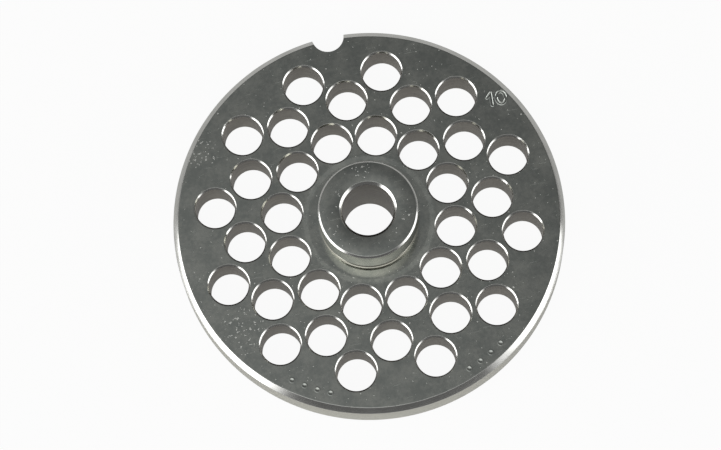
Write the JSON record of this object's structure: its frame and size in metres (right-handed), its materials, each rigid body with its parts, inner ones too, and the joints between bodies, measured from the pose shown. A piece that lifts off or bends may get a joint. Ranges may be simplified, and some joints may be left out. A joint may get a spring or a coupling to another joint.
{
  "type": "meat grinder plate",
  "caption": "Round steel plate for a meat grinder, drilled with rings of round holes, with a raised central hub, a through bore and a round notch in its rim.",
  "frame": {"origin": "middle of the flat knife face, on the axis of the bore, where the plate rests when it lies hub up", "axes": "+Z along the bore, from the knife face to the hub; the key notch is in the rim on the +Y side"},
  "size_m": [0.099, 0.0988, 0.0213],
  "materials": {
    "plate_steel": "polished stainless steel, lightly worn"
  },
  "bodies": {
    "root": {"grinder_plate": "plate_steel"}
  },
  "joints": []
}
